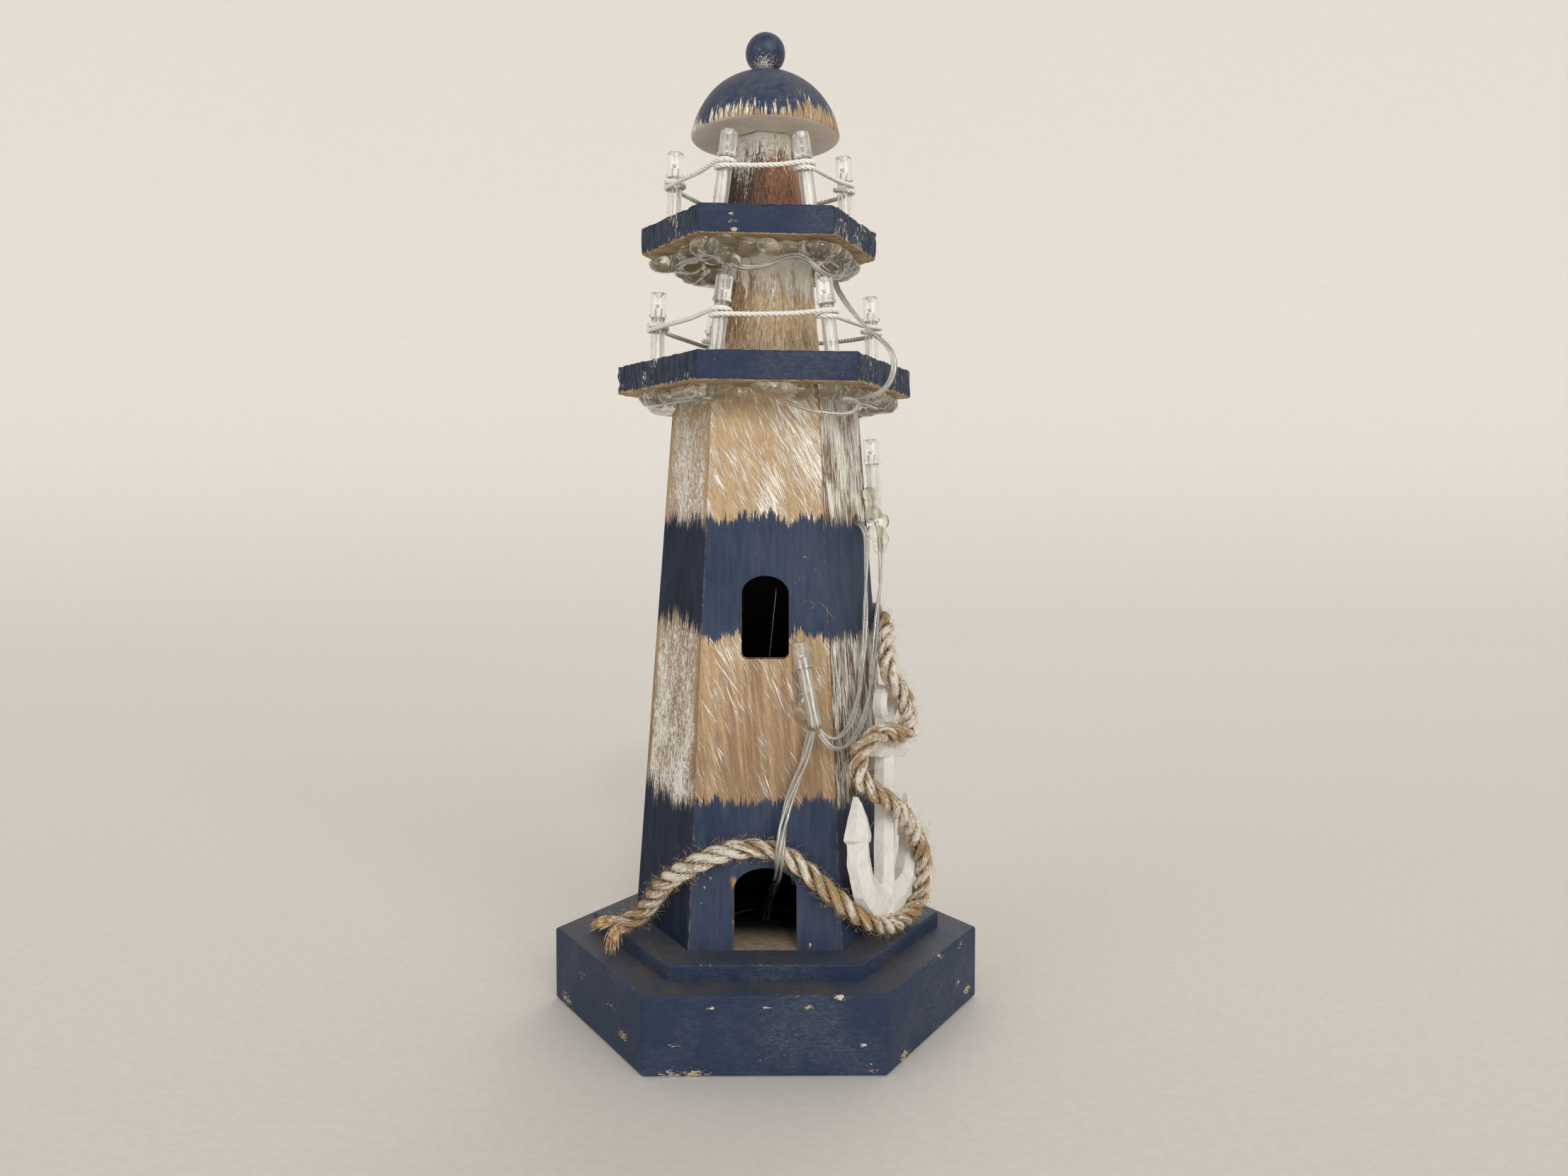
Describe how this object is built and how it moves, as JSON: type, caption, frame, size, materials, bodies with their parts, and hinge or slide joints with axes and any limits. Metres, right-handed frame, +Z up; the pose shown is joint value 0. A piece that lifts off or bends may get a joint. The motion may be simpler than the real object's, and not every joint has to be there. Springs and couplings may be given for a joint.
{
  "type": "miniature lighthouse",
  "caption": "Hexagonal wooden miniature lighthouse: tapered tower with arched door and window, railed decks, domed top, battery-fed lamps, and an anchor hung with jute rope.",
  "frame": {"origin": "middle of the plinth's underside, on the surface that it stands on", "axes": "+Z up the tower, -Y out of the front board with the door, +X to the right seen from the front"},
  "size_m": [0.1328, 0.1152, 0.3],
  "materials": {
    "navy_paint": "dark chalky paint, worn at the edges",
    "tower_paint": "dark paint and brushed stained wood in bands",
    "stained_wood": "stained and dry-brushed with white",
    "dowel_wood": "plain turned dowel",
    "white_paint": "white chalky paint",
    "clear_bulb": "clear epoxy",
    "clear_sleeve": "clear tube",
    "tinned_wire": "tinned",
    "hot_glue": "clear, slightly yellow",
    "clear_lead": "clear jacket over a tinned core",
    "cotton_cord": "twisted cotton",
    "jute": "twisted jute, partly whitened",
    "case_plastic": "moulded",
    "switch_plastic": "moulded",
    "cell_jacket": "plain sleeve",
    "contact_metal": "plated spring strip"
  },
  "bodies": {
    "lighthouse": {"anchor_body": "white_paint", "anchor_glue_dabs": "hot_glue", "anchor_stock": "white_paint", "ball_finial": "navy_paint", "base_plinth": "navy_paint", "base_step": "navy_paint", "battery_case": "case_plastic", "battery_cells": "cell_jacket", "battery_contacts": "contact_metal", "deck_link_lead": "clear_lead", "dome_roof": "navy_paint", "door_lead": "clear_lead", "finial_dowel": "dowel_wood", "front_left_panel": "tower_paint", "front_panel": "tower_paint", "front_right_panel": "tower_paint", "jute_rope": "jute", "lamp_lead": "clear_lead", "lower_deck": "navy_paint", "lower_glue_lumps": "hot_glue", "lower_lamp_bulbs": "clear_bulb", "lower_lamp_legs": "tinned_wire", "lower_lamp_sleeves": "clear_sleeve", "lower_rail_cord": "cotton_cord", "lower_ring_lead": "clear_lead", "lower_slack_lead": "clear_lead", "mid_column": "stained_wood", "rear_left_panel": "tower_paint", "rear_panel": "tower_paint", "rear_right_panel": "tower_paint", "spine_dowel": "dowel_wood", "switch_body": "switch_plastic", "top_column": "stained_wood", "tower_glue_dabs": "hot_glue", "tower_lamp_bulbs": "clear_bulb", "tower_lamp_legs": "tinned_wire", "tower_lamp_sleeves": "clear_sleeve", "upper_deck": "navy_paint", "upper_glue_lumps": "hot_glue", "upper_lamp_bulbs": "clear_bulb", "upper_lamp_legs": "tinned_wire", "upper_lamp_sleeves": "clear_sleeve", "upper_rail_cord": "cotton_cord", "upper_ring_lead": "clear_lead", "upper_slack_lead": "clear_lead", "wall_lead": "clear_lead"},
    "cover": {"battery_cover": "case_plastic"},
    "slider": {"switch_slider": "switch_plastic"}
  },
  "joints": [
    {"name": "cover_hinge", "type": "hinge", "parent": "lighthouse", "child": "cover", "pos_m": [-0.0297, 0.005, 0.002], "axis": [0, 1, 0], "range_deg": [0, 90]},
    {"name": "switch_slide", "type": "slide", "parent": "lighthouse", "child": "slider", "axis": [0, 1, 0], "range_m": [0, 0.0036]}
  ]
}
